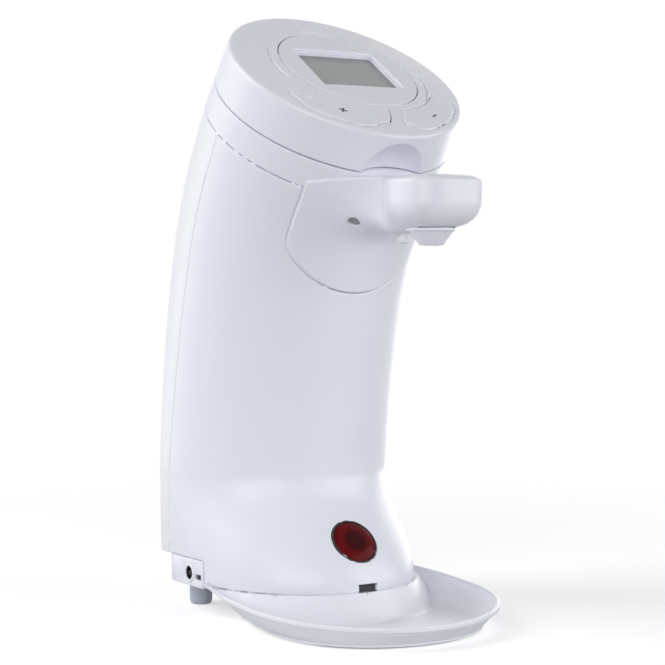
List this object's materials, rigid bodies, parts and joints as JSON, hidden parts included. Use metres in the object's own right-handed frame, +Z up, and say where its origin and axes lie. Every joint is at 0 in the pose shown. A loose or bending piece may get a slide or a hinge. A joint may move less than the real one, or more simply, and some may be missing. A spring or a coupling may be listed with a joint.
{
  "type": "soap dispenser",
  "caption": "Touchless soap dispenser with a leaning tubular body, hinged tank lid with display and keys, beak nozzle, sensor window and a removable drip tray.",
  "frame": {"origin": "on the surface the dispenser stands on, directly below the centre of the lid's rim, in the plane of symmetry", "axes": "+Z up, -Y to the front where the nozzle points, +X to the right as seen from the front"},
  "size_m": [0.114, 0.1575, 0.2612],
  "materials": {
    "white_plastic": "gloss injection-moulded ABS, polished",
    "rear_plastic": "satin-gloss injection-moulded ABS",
    "tray_plastic": "gloss injection-moulded ABS",
    "tank_plastic": "translucent polypropylene, natural",
    "pipe_plastic": "clear silicone tube",
    "inner_plastic": "grey ABS, as moulded",
    "black_plastic": "black ABS, fine texture",
    "grey_lens": "translucent grey acrylic",
    "light_pipe": "frosted clear polycarbonate",
    "red_window": "infrared-pass dark red acrylic, polished",
    "lcd_window": "clear acrylic over a reflective display",
    "lcd_glass": "grey-green reflective display",
    "gasket_rubber": "light grey silicone",
    "foot_rubber": "light grey-blue rubber",
    "steel": "zinc-plated steel",
    "brass": "cut brass",
    "board": "green solder mask on laminate",
    "cell_jacket": "plain grey jacket",
    "violet_lens": "tinted epoxy"
  },
  "bodies": {
    "housing": {"front_shell": "white_plastic", "rear_shell": "rear_plastic", "base_pan": "white_plastic", "collar_ring": "white_plastic", "nozzle_cover": "white_plastic", "spout_floor": "white_plastic", "outlet_tip": "pipe_plastic", "guide_light": "light_pipe", "status_lens": "grey_lens", "chassis": "inner_plastic", "tank": "tank_plastic", "pump_housing": "inner_plastic", "pump_cover": "inner_plastic", "motor": "steel", "inlet_pipe": "pipe_plastic", "feed_pipe": "pipe_plastic", "battery_holder": "black_plastic", "batteries": "cell_jacket", "battery_contacts": "steel", "keyhole_plate": "steel", "main_board": "board", "sensor_board": "board", "ir_emitter": "violet_lens", "ir_receiver": "black_plastic", "sensor_bezel": "black_plastic", "sensor_window": "red_window", "dc_jack": "black_plastic", "power_switch": "black_plastic", "rear_feet": "foot_rubber", "tray_catch": "black_plastic", "case_screws": "steel", "hinge_pin": "steel"},
    "lid": {"lid": "white_plastic", "display_disc": "white_plastic", "display_lens": "lcd_window", "display_module": "lcd_glass", "lid_board": "board", "key_switches": "black_plastic", "lid_liner": "inner_plastic", "tank_gasket": "gasket_rubber"},
    "plus_key": {"plus_key": "white_plastic"},
    "minus_key": {"minus_key": "white_plastic"},
    "tray": {"drip_tray": "tray_plastic"},
    "switch": {"switch_slider": "black_plastic"},
    "door": {"battery_door": "rear_plastic"},
    "drive": {"motor_shaft": "steel", "motor_coupling": "brass", "drive_gear": "brass"},
    "idler": {"idler_gear": "brass"}
  },
  "joints": [
    {"name": "lid_hinge", "type": "hinge", "parent": "housing", "child": "lid", "pos_m": [0, 0.05072, 0.24903], "axis": [-1, 0, 0], "range_deg": [0, 90]},
    {"name": "plus_key_press", "type": "slide", "parent": "lid", "child": "plus_key", "axis": [0, 0.5446, -0.8387], "range_m": [0, 0.0012], "stiffness_N_per_m": 500},
    {"name": "minus_key_press", "type": "slide", "parent": "lid", "child": "minus_key", "axis": [0, 0.5446, -0.8387], "range_m": [0, 0.0012], "stiffness_N_per_m": 500},
    {"name": "tray_pull", "type": "slide", "parent": "housing", "child": "tray", "axis": [0, -1, 0], "range_m": [0, 0.07]},
    {"name": "switch_slide", "type": "slide", "parent": "housing", "child": "switch", "axis": [0, 1, 0], "range_m": [0, 0.002]},
    {"name": "door_lift_off", "type": "slide", "parent": "housing", "child": "door", "axis": [0, 1, 0], "range_m": [0, 0.02]},
    {"name": "pump_drive", "type": "hinge", "parent": "housing", "child": "drive", "pos_m": [0.0082, 0.04, 0.112], "axis": [0, 0, 1], "continuous": true},
    {"name": "pump_idler", "type": "hinge", "parent": "housing", "child": "idler", "pos_m": [-0.0082, 0.04, 0.125], "axis": [0, 0, 1], "continuous": true}
  ],
  "couplings": [
    {"joint": "pump_idler", "follows": "pump_drive", "ratio": -1}
  ]
}
